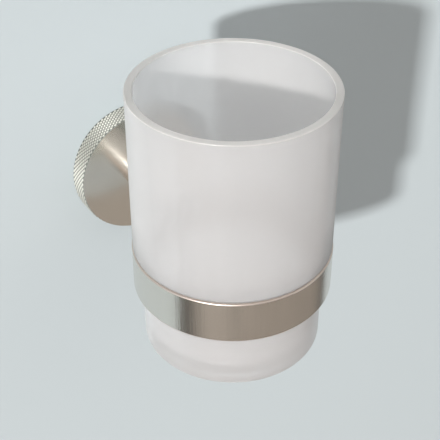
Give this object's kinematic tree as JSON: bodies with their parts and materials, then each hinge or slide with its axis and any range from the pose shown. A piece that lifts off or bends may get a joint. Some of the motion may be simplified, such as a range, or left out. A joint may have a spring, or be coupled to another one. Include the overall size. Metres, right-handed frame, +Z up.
{
  "type": "wall-mounted tumbler holder",
  "caption": "Tumbler holder for a wall: a stepped frosted glass hangs by its shoulder in a plain metal ring, carried by a round stem from a knurled rosette.",
  "frame": {"origin": "centre of the rosette's back, on the wall, which is also the centre of the two wall screws", "axes": "+Z up; +Y into the wall; +X to the right, seen from the room; the ring and the tumbler stand out towards -Y"},
  "size_m": [0.0706, 0.1433, 0.1],
  "materials": {
    "nickel": "warm brushed nickel",
    "bracket_steel": "plain turned steel",
    "screw_steel": "zinc plated",
    "frosted_glass": "frosted inside and out"
  },
  "bodies": {
    "holder": {"rosette": "nickel", "wall_bracket": "bracket_steel", "wall_screws": "screw_steel", "grub_screw": "screw_steel", "stem": "nickel", "stem_screw": "screw_steel", "stem_washer": "screw_steel", "holder_ring": "nickel", "ring_screw": "screw_steel"},
    "glass": {"tumbler": "frosted_glass"}
  },
  "joints": [
    {"name": "tumbler_lift", "type": "slide", "parent": "holder", "child": "glass", "axis": [0, 0, 1], "range_m": [0, 0.045]}
  ]
}
